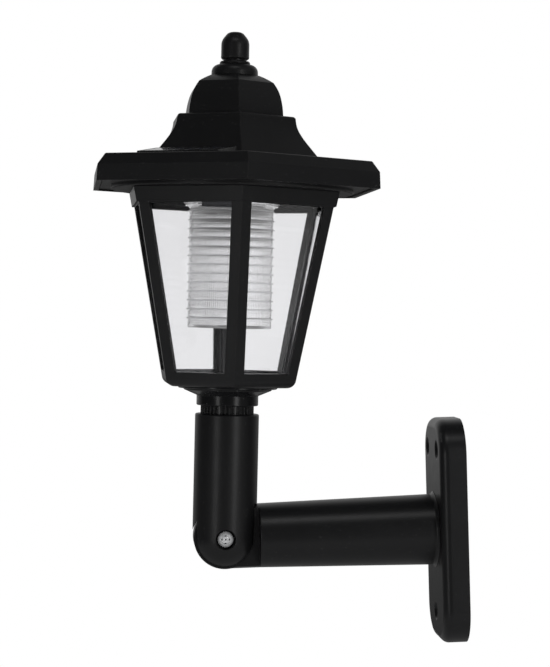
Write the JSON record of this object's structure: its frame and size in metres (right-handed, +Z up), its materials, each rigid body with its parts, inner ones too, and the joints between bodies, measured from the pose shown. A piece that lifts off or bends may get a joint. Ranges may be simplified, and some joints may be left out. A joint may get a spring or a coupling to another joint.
{
  "type": "solar wall lantern",
  "caption": "Hexagonal coach-style solar lantern on a tube that hinges on a horizontal arm with a wall plate; ribbed clear diffuser, lift-off roof.",
  "frame": {"origin": "centre of the wall plate's back face, on the arm's axis", "axes": "+X into the wall, -X out along the arm, +Z up"},
  "size_m": [0.1847, 0.1618, 0.3155],
  "materials": {
    "black_plastic": "satin moulded",
    "zinc_steel": "zinc plated",
    "bright_zinc": "bright zinc",
    "nylon": "natural",
    "clear_sheet": "clear polished",
    "clear_ribbed": "clear ribbed",
    "solar_glass": "gloss epoxy",
    "cell_wrap": "shrink sleeve",
    "nickel": "nickel plated",
    "board_green": "solder mask",
    "led_epoxy": "clear epoxy",
    "switch_black": "matt"
  },
  "bodies": {
    "bracket": {"wall_plate": "black_plastic", "arm": "black_plastic", "arm_screws": "zinc_steel"},
    "upright": {"upright": "black_plastic", "pivot_screw": "bright_zinc", "pivot_nut": "zinc_steel", "friction_washers": "nylon"},
    "lantern": {"neck": "black_plastic", "neck_screws": "zinc_steel", "cage": "black_plastic", "pane_1": "clear_sheet", "pane_2": "clear_sheet", "pane_3": "clear_sheet", "pane_4": "clear_sheet", "pane_5": "clear_sheet", "pane_6": "clear_sheet"},
    "roof": {"roof_shell": "black_plastic", "finial": "black_plastic", "finial_ring": "black_plastic", "finial_nut": "zinc_steel", "solar_tray": "black_plastic", "solar_cell": "solar_glass", "underplate": "black_plastic", "roof_screws": "zinc_steel", "battery_door": "black_plastic", "door_screws": "zinc_steel", "battery_tray": "black_plastic", "battery": "cell_wrap", "contact_plate": "nickel", "contact_spring": "nickel", "circuit_board": "board_green", "led": "led_epoxy", "switch_body": "switch_black"},
    "diffuser": {"diffuser": "clear_ribbed"},
    "switch_knob": {"switch_knob": "switch_black"}
  },
  "joints": [
    {"name": "upright_tilt", "type": "hinge", "parent": "bracket", "child": "upright", "pos_m": [-0.122, 0, 0], "axis": [0, 1, 0], "range_deg": [-115, 0]},
    {"name": "lantern_swivel", "type": "hinge", "parent": "upright", "child": "lantern", "pos_m": [-0.11951, 0, 0.04994], "axis": [0.0497, 0, 0.9988], "continuous": true},
    {"name": "roof_lift", "type": "slide", "parent": "lantern", "child": "roof", "axis": [0.0497, 0, 0.9988], "range_m": [0, 0.08]},
    {"name": "diffuser_twist", "type": "hinge", "parent": "roof", "child": "diffuser", "pos_m": [-0.11355, 0, 0.16979], "axis": [0.0497, 0, 0.9988], "range_deg": [0, 20]},
    {"name": "switch_slide", "type": "slide", "parent": "roof", "child": "switch_knob", "axis": [0.9981, 0.0366, -0.0497], "range_m": [0, 0.003]}
  ]
}
